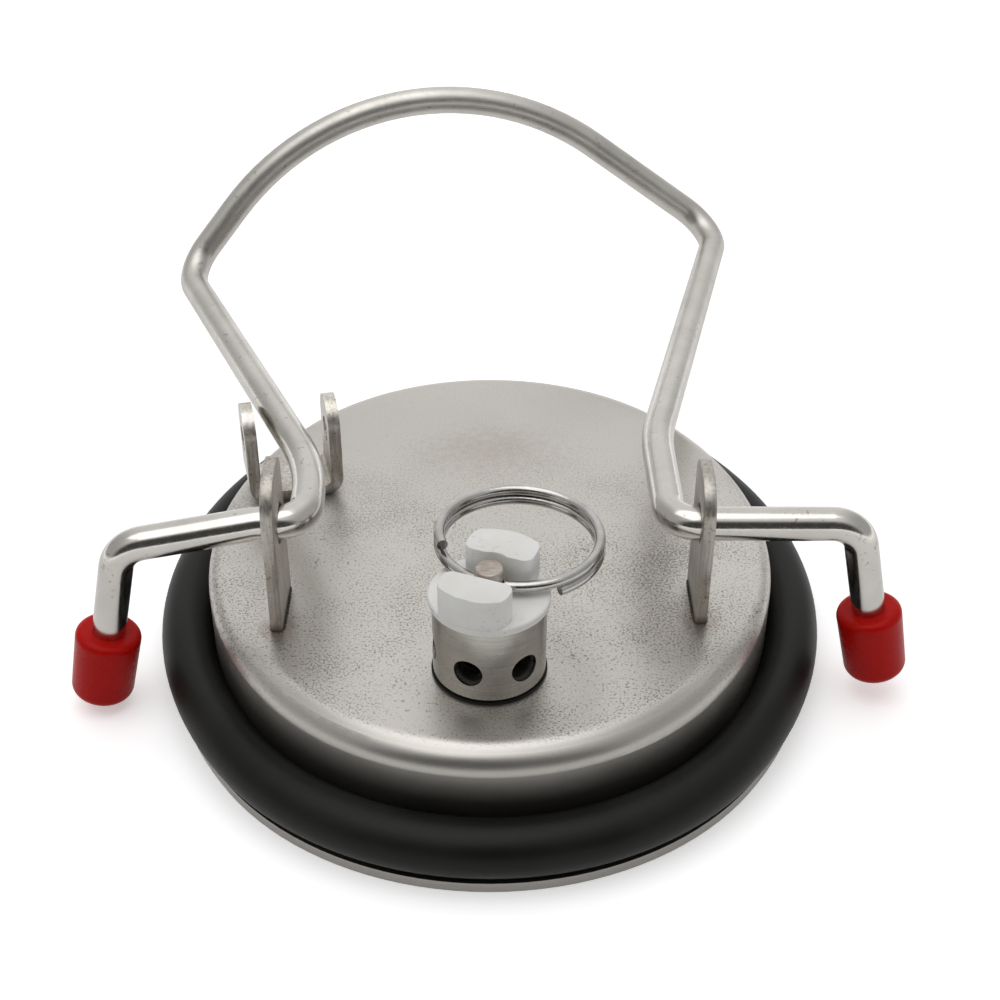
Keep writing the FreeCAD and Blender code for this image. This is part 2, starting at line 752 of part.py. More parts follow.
def make_split_ring():
    """Wire wound nearly two turns, so that a single strand passes the stem's cross hole."""
    turn_share = "( 720 - 2 * ring_open_angle ) / 360"
    pitch = "2 * ring_wire_radius + ring_turn_gap"
    ring = helix_sweep("split_ring", "ring_radius", pitch, "( %s ) * ( %s )" % (pitch, turn_share),
                       "ring_wire_radius")
    stem_angle = 360 - value_of("ring_open_angle")
    valve_turn = value_of("valve_turn")
    below_hole = value_of(pitch) * stem_angle / 360
    toward_stem = math.radians(stem_angle)
    radius = value_of("ring_radius")
    strand = Vector(radius * math.cos(toward_stem), radius * math.sin(toward_stem), below_hole)
    hole_to_origin = FreeCAD.Placement(strand * -1, FreeCAD.Rotation())
    face_forward = FreeCAD.Placement(Vector(), FreeCAD.Rotation(Vector(0, 0, 1), 270 - stem_angle))
    droop = FreeCAD.Placement(Vector(), FreeCAD.Rotation(Vector(1, 0, 0), -value_of("ring_droop")))
    hole = Vector(0, value_of("valve_y"), value_of("stem_hole_height"))
    onto_valve = FreeCAD.Placement(hole, FreeCAD.Rotation(Vector(0, 0, 1), valve_turn))
    ring.Placement = onto_valve.multiply(droop).multiply(face_forward).multiply(hole_to_origin)
    doc.recompute()
    return ring


def check_and_write(pieces):
    """Stop on any failed feature or bad shape, then write one STEP file per piece."""
    for item in doc.Objects:
        if "Invalid" in item.State or "Error" in item.State:
            raise RuntimeError("%s is %s" % (item.Name, item.State))
    os.makedirs("parts", exist_ok=True)
    for piece in pieces:
        shape = piece.Shape
        if shape.isNull() or not shape.isValid() or len(shape.Solids) != 1:
            raise RuntimeError("bad shape: " + piece.Label)
        shape.exportStep("parts/%s.step" % piece.Label)
        print("%-18s %10.2f mm3  %s" % (piece.Label, shape.Volume, shape.BoundBox))


PIECES = [
    make_lid_shell(),
    make_rim_seal(),
    make_pivot_tab("left_pivot_tab", -1, "left_tab_height"),
    make_pivot_tab("right_pivot_tab", 1, "right_tab_height"),
    make_lock_bracket(),
    make_bail_wire(),
    make_foot_cap("left_foot_cap", -1),
    make_foot_cap("right_foot_cap", 1),
    make_threaded_collar(),
    make_valve_body(),
    make_valve_gasket(),
    make_guide_cap(),
    make_valve_stem(),
    make_poppet(),
    make_poppet_seal(),
    make_spring_washer(),
    make_relief_spring(),
    make_split_ring(),
]
doc.recompute()
check_and_write(PIECES)
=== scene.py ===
import json
import math

import bmesh
import bpy
from bpy.props import FloatProperty, FloatVectorProperty, PointerProperty
from mathutils import Matrix, Vector, noise


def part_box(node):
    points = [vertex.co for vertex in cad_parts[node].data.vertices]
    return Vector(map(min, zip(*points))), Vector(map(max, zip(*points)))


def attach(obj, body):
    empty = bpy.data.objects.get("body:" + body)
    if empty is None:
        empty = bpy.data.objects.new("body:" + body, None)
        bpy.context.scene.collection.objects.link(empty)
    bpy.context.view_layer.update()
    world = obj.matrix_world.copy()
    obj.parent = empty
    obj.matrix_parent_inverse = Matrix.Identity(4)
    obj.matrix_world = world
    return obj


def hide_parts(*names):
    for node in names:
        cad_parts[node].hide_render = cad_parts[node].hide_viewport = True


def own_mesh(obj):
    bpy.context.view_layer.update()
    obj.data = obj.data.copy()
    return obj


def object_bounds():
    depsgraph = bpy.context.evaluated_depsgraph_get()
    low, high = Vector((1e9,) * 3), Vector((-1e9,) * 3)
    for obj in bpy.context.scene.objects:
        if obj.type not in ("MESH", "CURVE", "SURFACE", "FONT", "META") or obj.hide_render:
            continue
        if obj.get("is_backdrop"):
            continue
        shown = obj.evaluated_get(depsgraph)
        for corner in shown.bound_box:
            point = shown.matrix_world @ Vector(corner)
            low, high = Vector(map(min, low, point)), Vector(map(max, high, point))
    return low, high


bl_info = {
    "name": "Keg lid",
    "version": (1, 0, 0),
    "blender": (4, 5, 0),
    "location": "3D View > Sidebar > Keg lid",
    "description": "Finishes, plates, guide cap, spring and studio for an oval keg lid with a bail",
    "category": "Object",
}

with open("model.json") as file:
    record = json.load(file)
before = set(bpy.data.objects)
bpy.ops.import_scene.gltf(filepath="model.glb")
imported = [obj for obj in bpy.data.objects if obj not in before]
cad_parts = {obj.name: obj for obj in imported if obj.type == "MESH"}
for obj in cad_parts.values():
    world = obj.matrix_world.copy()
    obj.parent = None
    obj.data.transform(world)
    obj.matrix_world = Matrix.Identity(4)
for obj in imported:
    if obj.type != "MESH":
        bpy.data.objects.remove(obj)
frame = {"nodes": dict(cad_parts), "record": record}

MM = 0.001
EVEN = (1.0, 1.0, 1.0)
BLACK = (0.0, 0.0, 0.0)
WHITE = (1.0, 1.0, 1.0)
UP = Vector((0, 0, 1))
SMOOTH_BELOW_DEGREES = 32


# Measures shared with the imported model

HINGE_HOLE_RADIUS = 2.85 * MM


def joint_record(name):
    return next(joint for joint in frame["record"]["behaviour"]["joints"] if joint["name"] == name)


def joint_place(name):
    return joint_record(name)["pos_m"]


def joint_axis(name):
    return joint_record(name)["axis"]


# Sizes and colours a user would change

class KegLidSizes(bpy.types.PropertyGroup):
    """Sizes of the pieces, the marks and the floor that this file makes."""
    bead_radius: FloatProperty(
        name="Weld bead", description="Radius of the weld beads along the plates' feet",
        default=0.26 * MM, min=0.1 * MM, max=1.5 * MM, unit="LENGTH", subtype="DISTANCE")
    ripple: FloatProperty(
        name="Weld ripple", description="How far a weld bead swells and shrinks along its length",
        default=0.25, min=0.0, max=0.6, subtype="FACTOR")
    smudge_size: FloatProperty(
        name="Smudge spacing", description="Distance between neighbouring dark marks in the pan's surface",
        default=0.32 * MM, min=0.1 * MM, max=3 * MM, unit="LENGTH", subtype="DISTANCE")
    edge_fall: FloatProperty(
        name="Deck rim", description="Width of the deck's rim that leans towards the shoulder",
        default=2.4 * MM, min=0.5 * MM, max=8 * MM, unit="LENGTH", subtype="DISTANCE")
    edge_wear: FloatProperty(
        name="Plate edge", description="Width of the broken edge round the cut plates",
        default=0.22 * MM, min=0.05 * MM, max=0.6 * MM, unit="LENGTH", subtype="DISTANCE")
    lobe_corner: FloatProperty(
        name="Lobe corner", description="Radius of the upright corners of the guide cap's lobes",
        default=1.3 * MM, min=0.2 * MM, max=2.5 * MM, unit="LENGTH", subtype="DISTANCE")
    floor_reach: FloatProperty(
        name="Floor", description="Half the width of the studio floor",
        default=3.0, min=0.5, max=10.0, unit="LENGTH", subtype="DISTANCE")


class KegLidColours(bpy.types.PropertyGroup):
    """Colours of the finishes."""
    pan: FloatVectorProperty(
        name="Pan steel", description="Rolled stainless sheet of the pan",
        default=(0.60, 0.575, 0.540), min=0, max=1, subtype="COLOR")
    plate: FloatVectorProperty(
        name="Plate steel", description="Cut stainless sheet of the tabs and the bracket",
        default=(0.58, 0.555, 0.515), min=0, max=1, subtype="COLOR")
    wire: FloatVectorProperty(
        name="Wire steel", description="Drawn stainless wire of the bail",
        default=(0.56, 0.54, 0.505), min=0, max=1, subtype="COLOR")
    valve: FloatVectorProperty(
        name="Valve steel", description="Turned stainless bar of the valve",
        default=(0.50, 0.48, 0.44), min=0, max=1, subtype="COLOR")
    stem: FloatVectorProperty(
        name="Stem end", description="Sheared and browned end of the valve stem",
        default=(0.50, 0.445, 0.395), min=0, max=1, subtype="COLOR")
    ring: FloatVectorProperty(
        name="Ring steel", description="Plated wire of the split ring",
        default=(0.50, 0.49, 0.47), min=0, max=1, subtype="COLOR")
    rust: FloatVectorProperty(
        name="Stain", description="Brown stain beside the welds",
        default=(0.16, 0.085, 0.035), min=0, max=1, subtype="COLOR")
    # Near-black colour of the weld beads, of the plates' feet, of the valve's inner surfaces and of the
    # spring.
    darkening: FloatVectorProperty(
        name="Darkening", description="Burnt dirt in the welds and in the valve's holes",
        default=(0.022, 0.018, 0.013), min=0, max=1, subtype="COLOR")
    rubber: FloatVectorProperty(
        name="Rubber", description="Black rubber of the seal",
        default=(0.0065, 0.0068, 0.0056), min=0, max=1, subtype="COLOR")
    red: FloatVectorProperty(
        name="Foot cap", description="Red dipped plastic of the foot caps",
        default=(0.46, 0.0050, 0.0030), min=0, max=1, subtype="COLOR")
    white: FloatVectorProperty(
        name="Guide cap", description="White moulded plastic of the guide cap",
        default=(0.78, 0.78, 0.77), min=0, max=1, subtype="COLOR")
    backdrop: FloatVectorProperty(
        name="Backdrop", description="Pale floor of the studio",
        default=(0.93, 0.93, 0.93), min=0, max=1, subtype="COLOR")


def sizes():
    return bpy.context.scene.keg_lid_sizes


def colours():
    return bpy.context.scene.keg_lid_colours


# Helpers for shader nodes

def feed(tree, socket, value):
    """Give a socket a value, or a link from another socket."""
    if isinstance(value, bpy.types.NodeSocket):
        tree.links.new(value, socket)
    else:
        socket.default_value = value


def set_inputs(tree, node, inputs):
    for name, value in inputs.items():
        feed(tree, node.inputs[name], value)


def add(tree, kind, inputs=None, **settings):
    """New node with its settings; inputs map a socket name or number to a value or to another socket."""
    node = tree.nodes.new(kind)
    for name, value in settings.items():
        setattr(node, name, value)
    set_inputs(tree, node, inputs or {})
    return node


def math_node(tree, operation, first, second=0.0, clamp=False):
    node = add(tree, "ShaderNodeMath", {0: first, 1: second}, operation=operation, use_clamp=clamp)
    return node.outputs[0]


def times(tree, first, second):
    return math_node(tree, "MULTIPLY", first, second)


def one_less(tree, value):
    return math_node(tree, "SUBTRACT", 1.0, value)


def greater(tree, first, second):
    return math_node(tree, "MAXIMUM", first, second)


def vector_math(tree, operation, first, second=None):
    inputs = {0: first}
    if second is not None:
        inputs[1] = second
    return add(tree, "ShaderNodeVectorMath", inputs, operation=operation).outputs[0]


def length_of(tree, vector):
    return add(tree, "ShaderNodeVectorMath", {0: vector}, operation="LENGTH").outputs["Value"]


def split(tree, vector):
    return add(tree, "ShaderNodeSeparateXYZ", {0: vector}).outputs


def noise_texture(tree, place, scale, detail, roughness):
    return add(tree, "ShaderNodeTexNoise", {
        "Vector": place, "Scale": scale, "Detail": detail, "Roughness": roughness}).outputs["Fac"]


def remap(tree, value, low, high, out_low=0.0, out_high=1.0, kind="LINEAR"):
    """Value taken from one range to another and held inside it."""
    return add(tree, "ShaderNodeMapRange", {
        "Value": value, "From Min": low, "From Max": high, "To Min": out_low, "To Max": out_high,
    }, interpolation_type=kind).outputs["Result"]


def spread(tree, noise_value, out_low=0.0, out_high=1.0):
    """The middle of a noise, where nearly all its values are, stretched over a range."""
    return remap(tree, noise_value, 0.3, 0.7, out_low, out_high)


def opaque(colour):
    """A colour with full alpha; a socket stays as it is."""
    return colour if isinstance(colour, bpy.types.NodeSocket) else (*colour[:3], 1.0)


def mix_colour(tree, share, first, second):
    """First colour where the share is 0, second colour where it is 1."""
    node = add(tree, "ShaderNodeMix", data_type="RGBA")
    for name, value in (("Factor", share), ("A", opaque(first)), ("B", opaque(second))):
        feed(tree, next(socket for socket in node.inputs if socket.enabled and socket.name == name), value)
    return next(socket for socket in node.outputs if socket.enabled)


def shade(colour, share):
    return [channel * share for channel in colour]


def between_shades(tree, share, colour, darker, lighter):
    """A colour taken from one shade of itself to another."""
    return mix_colour(tree, share, shade(colour, darker), shade(colour, lighter))


def overlay(tree, under, mask, strength, colour):
    """One colour laid over another where a mask is, no stronger than a strength."""
    return mix_colour(tree, times(tree, mask, strength), under, colour)


def position(tree):
    return add(tree, "ShaderNodeTexCoord").outputs["Object"]


def new_group(name, inputs, outputs):
    """Empty node group; inputs map a name to its default, outputs map a name to its socket type."""
    group = bpy.data.node_groups.new(name, "ShaderNodeTree")
    for label, default in inputs.items():
        kind = "NodeSocketVector" if isinstance(default, tuple) else "NodeSocketFloat"
        socket = group.interface.new_socket(name=label, in_out="INPUT", socket_type=kind)
        socket.default_value = default
    for label, kind in outputs.items():
        group.interface.new_socket(name=label, in_out="OUTPUT", socket_type=kind)
    entry = group.nodes.new("NodeGroupInput")
    leave = group.nodes.new("NodeGroupOutput")
    return group, entry.outputs, leave.inputs


# Effects that more than one finish uses

def group_grain():
    """Fine scratches drawn out along one direction, with a broad cloudy tone under them."""
    group, given, out = new_group("Grain", {
        "Scale": 1500.0, "Stretch": EVEN, "Cloud Scale": 60.0,
    }, {"Scratch": "NodeSocketFloat", "Cloud": "NodeSocketFloat"})
    place = position(group)
    stretched = vector_math(group, "MULTIPLY", place, given["Stretch"])
    fine = noise_texture(group, stretched, given["Scale"], detail=3.0, roughness=0.6)
    cloud = noise_texture(group, place, given["Cloud Scale"], detail=4.0, roughness=0.55)
    group.links.new(fine, out["Scratch"])
    group.links.new(cloud, out["Cloud"])
    return group


def group_smudges():
    """Small uneven dark marks that run together in patches; a mark fades over its soft edge."""
    patch_weight = 0.45
    soft_edge = 0.07
    group, given, out = new_group("Smudges", {
        "Spacing": 0.4 * MM, "Threshold": 0.55, "Patch Scale": 60.0,
    }, {"Mask": "NodeSocketFloat"})
    place = position(group)
    scale = math_node(group, "DIVIDE", 1.0, given["Spacing"])
    fine = noise_texture(group, place, scale, detail=2.0, roughness=0.7)
    patch = noise_texture(group, place, given["Patch Scale"], detail=3.0, roughness=0.6)
    lift = times(group, math_node(group, "SUBTRACT", patch, 0.5), patch_weight)
    over = math_node(group, "SUBTRACT", math_node(group, "ADD", fine, lift), given["Threshold"])
    group.links.new(remap(group, over, 0.0, soft_edge), out["Mask"])
    return group


def group_near_point():
    """How near the surface is to a point, ragged by noise: 1 at the point, 0 past the reach."""
    group, given, out = new_group("Near point", {
        "Centre": (0.0, 0.0, 0.0), "Shape": EVEN, "Reach": 5 * MM, "Ragged": 0.5,
    }, {"Mask": "NodeSocketFloat"})
    place = position(group)
    away = vector_math(group, "SUBTRACT", place, given["Centre"])
    distance = length_of(group, vector_math(group, "MULTIPLY", away, given["Shape"]))
    share = one_less(group, math_node(group, "DIVIDE", distance, given["Reach"]))
    rough = noise_texture(group, place, 700.0, detail=4.0, roughness=0.7)
    ragged = times(group, math_node(group, "SUBTRACT", rough, 0.5), given["Ragged"])
    group.links.new(math_node(group, "ADD", share, ragged, clamp=True), out["Mask"])
    return group


def effect(tree, name, inputs):
    """Outputs of a shared node group put into a tree; the group is built the first time it is asked for."""
    builders = {"Grain": group_grain, "Smudges": group_smudges, "Near point": group_near_point}
    if name not in bpy.data.node_groups:
        builders[name]()
    return add(tree, "ShaderNodeGroup", inputs, node_tree=bpy.data.node_groups[name]).outputs


def place_grain(tree, scale, cloud_scale, stretch=EVEN):
    return effect(tree, "Grain", {"Scale": scale, "Stretch": stretch, "Cloud Scale": cloud_scale})


def place_smudges(tree, spacing, threshold, patch_scale):
    return effect(tree, "Smudges", {
        "Spacing": spacing, "Threshold": threshold, "Patch Scale": patch_scale})["Mask"]


def place_near_point(tree, centre, shape, reach, ragged):
    return effect(tree, "Near point", {
        "Centre": centre, "Shape": shape, "Reach": reach, "Ragged": ragged})["Mask"]


def new_material(name):
    """Material with an empty tree apart from its Principled BSDF; returns material, tree and shader."""
    material = bpy.data.materials.new(name)
    material.use_nodes = True
    tree = material.node_tree
    shader = next(node for node in tree.nodes if node.type == "BSDF_PRINCIPLED")
    return material, tree, shader


def bump(tree, height, distance, strength, normal=None):
    inputs = {"Height": height, "Distance": distance, "Strength": strength}
    if normal is not None:
        inputs["Normal"] = normal
    return add(tree, "ShaderNodeBump", inputs).outputs["Normal"]


# Finishes

def deck_rim(tree):
    """Where the deck's front rim is, as a mask, and the normal that leans outward there in pressed sheet."""
    low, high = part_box("lid_shell")
    flange = 6.3 * MM
    shoulder = 2.0 * MM
    greatest_lean = 0.62
    side_share = 0.05
    front_starts = -0.30
    front_full = -0.85
    half_x = (high.x - low.x) / 2 - flange
    half_y = (high.y - low.y) / 2 - flange
    to_oval = (1 / half_x, 1 / half_y, 0.0)
    place = position(tree)
    scaled = vector_math(tree, "MULTIPLY", place, to_oval)
    outward = vector_math(tree, "NORMALIZE", vector_math(tree, "MULTIPLY", scaled, to_oval))
    rim = 1 - shoulder / half_x
    on_rim = remap(tree, length_of(tree, scaled), rim - sizes().edge_fall / half_x, rim, kind="SMOOTHSTEP")
    on_top = remap(tree, split(tree, place)["Z"], -shoulder, 0.0)
    facing = split(tree, outward)["Y"]
    in_front = remap(tree, facing, front_starts, front_full, side_share, 1.0, "SMOOTHSTEP")
    on_rim = times(tree, on_rim, in_front)
    lean = times(tree, times(tree, on_rim, on_top), greatest_lean)
    push = add(tree, "ShaderNodeVectorMath", {0: outward, "Scale": lean}, operation="SCALE").outputs[0]
    true_normal = add(tree, "ShaderNodeNewGeometry").outputs["Normal"]
    return on_rim, vector_math(tree, "NORMALIZE", vector_math(tree, "ADD", true_normal, push))


def pan_finish():
    """Rolled stainless sheet: even grey and fine grain, dark specks in front, rust-brown spots at the tabs'
    feet, and painted shade on the front rim.
    """
    speck_brown = (0.10, 0.088, 0.075)
    stain_brown = (0.33, 0.27, 0.22)
    behind_valve = (0.0, 24.0 * MM, 0.0)
    clean_rear = 32 * MM
    marked_front = -8 * MM
    spots_past_edge = 0.9 * MM
    material, tree, shader = new_material("pan_steel_smudged")
    grain = place_grain(tree, scale=3400.0, cloud_scale=42.0)
    marks = place_smudges(tree, sizes().smudge_size, threshold=0.543, patch_scale=55.0)
    specks = place_smudges(tree, sizes().smudge_size * 2, threshold=0.625, patch_scale=95.0)
    marks = greater(tree, marks, specks)
    on_rim, leaning = deck_rim(tree)
    front = remap(tree, split(tree, position(tree))["Y"], clean_rear, marked_front, 0.15, 1.0)
    rubbed = remap(tree, on_rim, 0.25, 0.9, 1.0, 0.12)
    marks = times(tree, times(tree, marks, front), rubbed)
    # Brown spots on the deck round the front of each tab's foot, coloured like the stain.
    darkening = None
    for node in ("left_pivot_tab", "right_pivot_tab"):
        low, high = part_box(node)
        centre = ((low.x + high.x) / 2, low.y + spots_past_edge, 0.0)
        spot = place_near_point(tree, centre, shape=(1.0, 0.75, 1.0), reach=3.1 * MM, ragged=1.5)
        darkening = spot if darkening is None else greater(tree, darkening, spot)
    old_stain = place_near_point(tree, behind_valve, shape=(0.8, 1.2, 1.0), reach=11.0 * MM, ragged=2.6)
    light = between_shades(tree, spread(tree, grain["Cloud"]), colours().pan, 0.95, 1.06)
    toned = mix_colour(tree, remap(tree, grain["Scratch"], 0.25, 0.75), shade(colours().pan, 0.90), light)
    marked = overlay(tree, toned, marks, strength=0.70, colour=speck_brown)
    aged = overlay(tree, marked, old_stain, strength=0.30, colour=stain_brown)
    tab_foot_spots = overlay(tree, aged, darkening, strength=0.62, colour=colours().rust)
    # Painted shade: the front rim is darkened towards 0.55 of the pan's colour, which dims the lamp's
    # highlight there.
    rim_painted_shade = overlay(tree, tab_foot_spots, on_rim, strength=0.45, colour=shade(colours().pan, 0.55))
    depth = math_node(tree, "SUBTRACT", times(tree, grain["Scratch"], 0.4), marks)
    set_inputs(tree, shader, {
        "Base Color": rim_painted_shade,
        "Metallic": remap(tree, greater(tree, darkening, marks), 0.3, 1.0, 1.0, 0.55),
        "Roughness": spread(tree, grain["Cloud"], 0.33, 0.40),
        "Normal": bump(tree, depth, distance=0.012 * MM, strength=0.5, normal=leaning),
    })
    return material


def plate_finish(name, level):
    """Cut stainless sheet, streaked along its height and near-black towards the foot, at a level of
    brightness; the bracket's raised level is painted light.
    """
    old_brown = (0.36, 0.31, 0.24)
    mark_brown = (0.16, 0.13, 0.10)
    darkest_below = 0.1 * MM
    plain_above = 1.5 * MM
    material, tree, shader = new_material(name)
    grain = place_grain(tree, scale=2300.0, cloud_scale=150.0, stretch=(1.0, 1.0, 0.10))
    marks = place_smudges(tree, 0.45 * MM, threshold=0.60, patch_scale=150.0)
    foot = remap(tree, split(tree, position(tree))["Z"], darkest_below, plain_above, 1.0, 0.0)
    cloudy = remap(tree, grain["Cloud"], 0.38, 0.62)
    streaks = remap(tree, grain["Scratch"], 0.32, 0.68)
    streaked = between_shades(tree, streaks, colours().plate, level * 0.62, level * 1.08)
    browned = overlay(tree, streaked, cloudy, strength=0.45, colour=old_brown)
    marked = overlay(tree, browned, marks, strength=0.6, colour=mark_brown)
    # Near-black towards the plate's foot, fading out by 1.5 mm up.
    darkened_foot = overlay(tree, marked, foot, strength=0.9, colour=colours().darkening)
    set_inputs(tree, shader, {
        "Base Color": darkened_foot,
        "Metallic": remap(tree, foot, 0.2, 1.0, 1.0, 0.3),
        "Roughness": spread(tree, grain["Scratch"], 0.32, 0.48),
        "Normal": bump(tree, grain["Scratch"], distance=0.012 * MM, strength=0.5),
    })
    return material


def wire_finish():
    """Drawn stainless wire: bright at the arms, dull where hands hold it, with a few rubbed marks."""
    rubbed_brown = (0.22, 0.19, 0.16)
    grip_end = 55 * MM
    material, tree, shader = new_material("wire_steel_drawn")
    grain = place_grain(tree, scale=1100.0, cloud_scale=130.0)
    marks = place_smudges(tree, 0.9 * MM, threshold=0.66, patch_scale=90.0)
    light = between_shades(tree, spread(tree, grain["Cloud"]), colours().wire, 0.90, 1.08)
    rubbed = overlay(tree, light, marks, strength=0.55, colour=rubbed_brown)
    handled = remap(tree, split(tree, position(tree))["Y"], 0.0, grip_end, 0.0, 0.24)
    set_inputs(tree, shader, {
        "Base Color": rubbed,
        "Metallic": 1.0,
        "Roughness": math_node(tree, "ADD", handled, spread(tree, grain["Scratch"], 0.13, 0.22)),
        "Normal": bump(tree, grain["Cloud"], distance=0.006 * MM, strength=0.4),
    })
    return material


def turned_finish():
    """Turned stainless bar with fine rings from the tool, near-black inwards from its outer surface, in the
    bore and the holes.
    """
    darkest_depth = 1.2 * MM
    plain_depth = 0.25 * MM
    material, tree, shader = new_material("valve_steel_turned")
    grain = place_grain(tree, scale=800.0, cloud_scale=200.0, stretch=(0.15, 0.15, 6.0))
    low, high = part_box("valve_body")
    axis = ((low.x + high.x) / 2, (low.y + high.y) / 2, 0.0)
    off_axis = vector_math(tree, "SUBTRACT", position(tree), axis)
    radius = length_of(tree, vector_math(tree, "MULTIPLY", off_axis, (1.0, 1.0, 0.0)))
    outside = (high.x - low.x) / 2
    inside = remap(tree, radius, outside - darkest_depth, outside - plain_depth, 1.0, 0.0)
    toned = between_shades(tree, spread(tree, grain["Scratch"]), colours().valve, 0.86, 1.08)
    # Near-black from 0.25 mm inside the outer surface, full by 1.2 mm.
    darkened = overlay(tree, toned, inside, strength=0.95, colour=colours().darkening)
    set_inputs(tree, shader, {
        "Base Color": darkened,
        "Metallic": remap(tree, inside, 0.0, 1.0, 1.0, 0.4),
        "Roughness": spread(tree, grain["Cloud"], 0.22, 0.32),
        "Normal": bump(tree, grain["Scratch"], distance=0.008 * MM, strength=0.5),
    })
    return material


def stem_finish():
    """Sheared end of a steel stem, dull and browned."""
    brown = (0.30, 0.21, 0.15)
    material, tree, shader = new_material("stem_steel_sheared")
    grain = place_grain(tree, scale=1900.0, cloud_scale=420.0, stretch=(0.25, 1.0, 1.0))
    toned = between_shades(tree, spread(tree, grain["Scratch"]), colours().stem, 0.62, 1.15)
    browned = mix_colour(tree, remap(tree, grain["Cloud"], 0.45, 0.7, 0.0, 0.5), toned, brown)
    set_inputs(tree, shader, {
        "Base Color": browned,
        "Metallic": 0.75,
        "Roughness": spread(tree, grain["Scratch"], 0.40, 0.55),
        "Normal": bump(tree, grain["Scratch"], distance=0.03 * MM, strength=0.6),
    })
    return material


def ring_finish():
    """Plated spring wire of the split ring, bright with faint wear."""
    material, tree, shader = new_material("ring_steel_plated")
    grain = place_grain(tree, scale=1400.0, cloud_scale=320.0)
    light = between_shades(tree, remap(tree, grain["Cloud"], 0.35, 0.65), colours().ring, 0.80, 1.0)
    set_inputs(tree, shader, {
        "Base Color": light,
        "Metallic": 1.0,
        "Roughness": spread(tree, grain["Scratch"], 0.13, 0.22),
    })
    return material


def spring_finish():
    """Dirty spring wire deep inside the valve."""
    bare_wire = (0.12, 0.115, 0.10)
    material, tree, shader = new_material("spring_steel_dirty")
    grain = place_grain(tree, scale=1400.0, cloud_scale=500.0)
    tone = mix_colour(tree, remap(tree, grain["Cloud"], 0.4, 0.65), colours().darkening, bare_wire)
    set_inputs(tree, shader, {
        "Base Color": tone,
        "Metallic": 0.8,
        "Roughness": spread(tree, grain["Scratch"], 0.28, 0.42),
    })
    return material


def rubber_finish():
    """Black rubber, satin, with dust in faint patches and a soft unevenness."""
    dust_grey = (0.0125, 0.0127, 0.0108)
    material, tree, shader = new_material("seal_rubber_black")
    grain = place_grain(tree, scale=1700.0, cloud_scale=60.0)
    dusty = mix_colour(tree, remap(tree, grain["Cloud"], 0.42, 0.72), colours().rubber, dust_grey)
    set_inputs(tree, shader, {
        "Base Color": dusty,
        "Roughness": spread(tree, grain["Cloud"], 0.36, 0.48),
        "Specular IOR Level": 0.18,
        "Normal": bump(tree, grain["Cloud"], distance=0.25 * MM, strength=0.35),
    })
    return material


def red_finish():
    """Dipped red plastic, glossy, with a slight unevenness."""
    material, tree, shader = new_material("cap_red_dipped")
    grain = place_grain(tree, scale=900.0, cloud_scale=170.0)
    tone = between_shades(tree, spread(tree, grain["Cloud"]), colours().red, 0.86, 1.0)
    set_inputs(tree, shader, {
        "Base Color": tone,
        "Roughness": spread(tree, grain["Scratch"], 0.24, 0.34),
        "Specular IOR Level": 0.09,
        "Normal": bump(tree, grain["Cloud"], distance=0.07 * MM, strength=0.5),
    })
    return material


def white_finish():
    """White moulded plastic, with a little warm dirt in scattered patches."""
    warm_white = (0.74, 0.725, 0.685)
    mark_brown = (0.42, 0.33, 0.24)
    material, tree, shader = new_material("guide_white_moulded")
    grain = place_grain(tree, scale=1500.0, cloud_scale=200.0)
    marks = place_smudges(tree, 0.6 * MM, threshold=0.64, patch_scale=260.0)
    tone = mix_colour(tree, remap(tree, grain["Cloud"], 0.35, 0.7), colours().white, warm_white)
    marked = overlay(tree, tone, marks, strength=0.22, colour=mark_brown)
    set_inputs(tree, shader, {
        "Base Color": marked,
        "Roughness": spread(tree, grain["Scratch"], 0.34, 0.44),
        "Specular IOR Level": 0.4,
    })
    return material


def weld_finish():
    """Weld metal, nearly black with some rust."""
    material, tree, shader = new_material("weld_near_black")
    grain = place_grain(tree, scale=900.0, cloud_scale=520.0)
    tone = mix_colour(tree, remap(tree, grain["Cloud"], 0.50, 0.66), colours().darkening, colours().rust)
    set_inputs(tree, shader, {
        "Base Color": tone,
        "Metallic": 0.4,
        "Roughness": spread(tree, grain["Scratch"], 0.45, 0.65),
        "Normal": bump(tree, grain["Cloud"], distance=0.08 * MM, strength=0.6),
    })
    return material


def finish_nodes(names, material):
    """Give carried-over CAD nodes a finish in their own material slots."""
    for name in names:
        piece = frame["nodes"][name]
        for slot in piece.material_slots:
            slot.material = material


# Mesh helpers

def mesh_piece(name, mesh_maker, material, body):
    """Object from a bmesh maker, smooth apart from its hard edges, riding on a body."""
    mesh = bpy.data.meshes.new(name)
    work = bmesh.new()
    mesh_maker(work)
    bmesh.ops.recalc_face_normals(work, faces=work.faces)
    work.to_mesh(mesh)
    work.free()
    for face in mesh.polygons:
        face.use_smooth = True
    mesh.set_sharp_from_angle(angle=math.radians(SMOOTH_BELOW_DEGREES))
    mesh.materials.append(material)
    piece = bpy.data.objects.new(name, mesh)
    bpy.context.scene.collection.objects.link(piece)
    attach(piece, body)
    return piece


def arc(centre, radius, start, end, steps):
    """Points of an arc in a plane, angles in degrees from the first axis towards the second."""
    points = []
    for step in range(steps + 1):
        angle = math.radians(start + (end - start) * step / steps)
        points.append((centre[0] + radius * math.cos(angle), centre[1] + radius * math.sin(angle)))
    return points


def closed_loop(work, points):
    """Row of edges from point to point and back to the first."""
    corners = [work.verts.new(point) for point in points]
    return [work.edges.new((corners[i - 1], corners[i])) for i in range(len(corners))]


